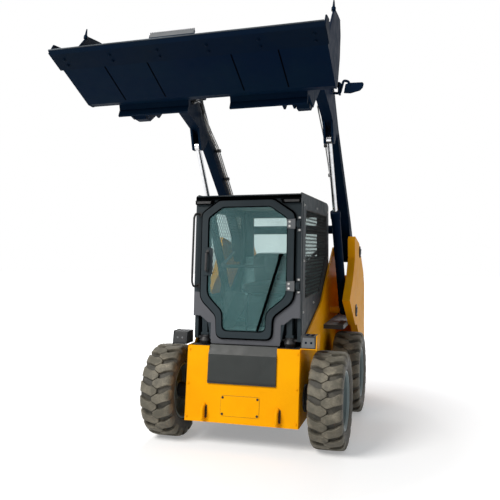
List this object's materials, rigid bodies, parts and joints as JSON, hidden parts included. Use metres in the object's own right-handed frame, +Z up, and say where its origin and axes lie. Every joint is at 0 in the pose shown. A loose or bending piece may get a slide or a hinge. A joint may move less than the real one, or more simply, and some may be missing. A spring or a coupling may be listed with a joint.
{
  "type": "skid steer loader",
  "caption": "Compact wheeled loader with a closed cab between two raised lift arms that carry a wide bucket high over the front.",
  "frame": {"origin": "on the ground under the middle of the whole machine's outline, lift arms raised", "axes": "+Z up, the machine faces -Y, its left side is +X"},
  "size_m": [1.795, 3.8762, 3.1562],
  "materials": {
    "black_plastic": "moulded black plastic",
    "body_yellow": "golden yellow enamel, gloss",
    "boom_black": "very dark blue-black enamel, satin",
    "cab_grey": "dark slate powder coat",
    "chassis_black": "black enamel, satin",
    "chrome_rod": "hard chrome, polished",
    "edge_steel": "dark wear steel",
    "engine_iron": "painted casting",
    "rim_paint": "pale grey-blue enamel, satin",
    "seat_cloth": "black vinyl",
    "tyre_rubber": "black rubber with dry dust between the lugs",
    "window_glass": "lightly tinted safety glass"
  },
  "bodies": {
    "root": {"axle_tubes": "chassis_black", "frame_side_left": "body_yellow", "frame_side_right": "body_yellow", "belly_pan": "chassis_black", "front_plate": "body_yellow", "step_panel": "chassis_black", "front_deck": "chassis_black", "cab_mounts": "chassis_black", "step_box_left": "body_yellow", "step_box_right": "body_yellow", "tower_left": "body_yellow", "tower_right": "body_yellow", "fender_left": "chassis_black", "fender_right": "chassis_black", "tail_box_left": "body_yellow", "tail_box_right": "body_yellow", "tail_frame": "body_yellow", "bumper": "chassis_black", "bulkhead": "chassis_black", "engine": "engine_iron", "cab_front": "cab_grey", "cab_roof": "cab_grey", "cab_side_left": "cab_grey", "cab_side_right": "cab_grey", "side_glass_left": "window_glass", "side_glass_right": "window_glass", "cab_rear": "cab_grey", "rear_glass": "window_glass", "cab_floor": "chassis_black", "seat": "seat_cloth", "levers": "black_plastic"},
    "wheel_front_left": {"tyre_front_left": "tyre_rubber", "rim_front_left": "rim_paint"},
    "wheel_front_right": {"tyre_front_right": "tyre_rubber", "rim_front_right": "rim_paint"},
    "wheel_rear_left": {"tyre_rear_left": "tyre_rubber", "rim_rear_left": "rim_paint"},
    "wheel_rear_right": {"tyre_rear_right": "tyre_rubber", "rim_rear_right": "rim_paint"},
    "boom": {"arm_left": "boom_black", "arm_right": "boom_black", "cross_tube": "boom_black", "hose_bracket": "boom_black"},
    "bucket": {"coupler_left": "boom_black", "coupler_right": "boom_black", "bucket_shell": "boom_black", "cutting_edge": "edge_steel", "bucket_step": "boom_black"},
    "cab_door": {"cab_door": "cab_grey", "door_glass": "window_glass"},
    "rear_door": {"rear_door": "body_yellow"},
    "hood": {"hood": "body_yellow"},
    "lift_barrels": {"lift_barrel_left": "boom_black", "lift_barrel_right": "boom_black"},
    "lift_rods": {"lift_rod_left": "chrome_rod", "lift_rod_right": "chrome_rod"},
    "tilt_barrels": {"tilt_barrel_left": "boom_black", "tilt_barrel_right": "boom_black"},
    "tilt_rods": {"tilt_rod_left": "chrome_rod", "tilt_rod_right": "chrome_rod"}
  },
  "joints": [
    {"name": "wheel_front_left_spin", "type": "hinge", "parent": "root", "child": "wheel_front_left", "pos_m": [0.688, -0.38, 0.388], "axis": [1, 0, 0], "continuous": true},
    {"name": "wheel_front_right_spin", "type": "hinge", "parent": "root", "child": "wheel_front_right", "pos_m": [-0.688, -0.38, 0.388], "axis": [1, 0, 0], "continuous": true},
    {"name": "wheel_rear_left_spin", "type": "hinge", "parent": "root", "child": "wheel_rear_left", "pos_m": [0.688, 0.82, 0.388], "axis": [1, 0, 0], "continuous": true},
    {"name": "wheel_rear_right_spin", "type": "hinge", "parent": "root", "child": "wheel_rear_right", "pos_m": [-0.688, 0.82, 0.388], "axis": [1, 0, 0], "continuous": true},
    {"name": "boom_lift", "type": "hinge", "parent": "root", "child": "boom", "pos_m": [0, 1.38, 1.56], "axis": [-1, 0, 0], "range_deg": [-53.7, 0]},
    {"name": "bucket_tilt", "type": "hinge", "parent": "boom", "child": "bucket", "pos_m": [0, -1.11082, 2.62131], "axis": [1, 0, 0], "range_deg": [-50, 62]},
    {"name": "cab_door_swing", "type": "hinge", "parent": "root", "child": "cab_door", "pos_m": [0.432, -0.46959, 1.3], "axis": [0, 0.085, 0.9964], "range_deg": [0, 95]},
    {"name": "rear_door_swing", "type": "hinge", "parent": "root", "child": "rear_door", "pos_m": [0.41, 1.862, 0.9], "axis": [0, 0, -1], "range_deg": [0, 95]},
    {"name": "hood_lift", "type": "hinge", "parent": "root", "child": "hood", "pos_m": [0, 1.072, 1.385], "axis": [1, 0, 0], "range_deg": [0, 40]},
    {"name": "lift_barrel_swing", "type": "hinge", "parent": "root", "child": "lift_barrels", "pos_m": [0, 1, 0.97], "axis": [-1, 0, 0], "range_deg": [-55.05, 1]},
    {"name": "lift_rod_slide", "type": "slide", "parent": "lift_barrels", "child": "lift_rods", "axis": [0, -0.5153, 0.857], "range_m": [-0.6388, 0.005]},
    {"name": "tilt_barrel_swing", "type": "hinge", "parent": "boom", "child": "tilt_barrels", "pos_m": [0, -0.08, 2.98], "axis": [1, 0, 0], "range_deg": [-4.5, 4.5]},
    {"name": "tilt_rod_slide", "type": "slide", "parent": "tilt_barrels", "child": "tilt_rods", "axis": [0, -0.9864, -0.1643], "range_m": [-0.15, 0.18]}
  ],
  "couplings": [
    {"joint": "lift_barrel_swing", "follows": "boom_lift", "ratio": 1.0065},
    {"joint": "lift_rod_slide", "follows": "boom_lift", "m_per_rad": 0.67629},
    {"joint": "tilt_barrel_swing", "follows": "bucket_tilt", "ratio": -0.05236},
    {"joint": "tilt_rod_slide", "follows": "bucket_tilt", "m_per_rad": 0.1545}
  ]
}
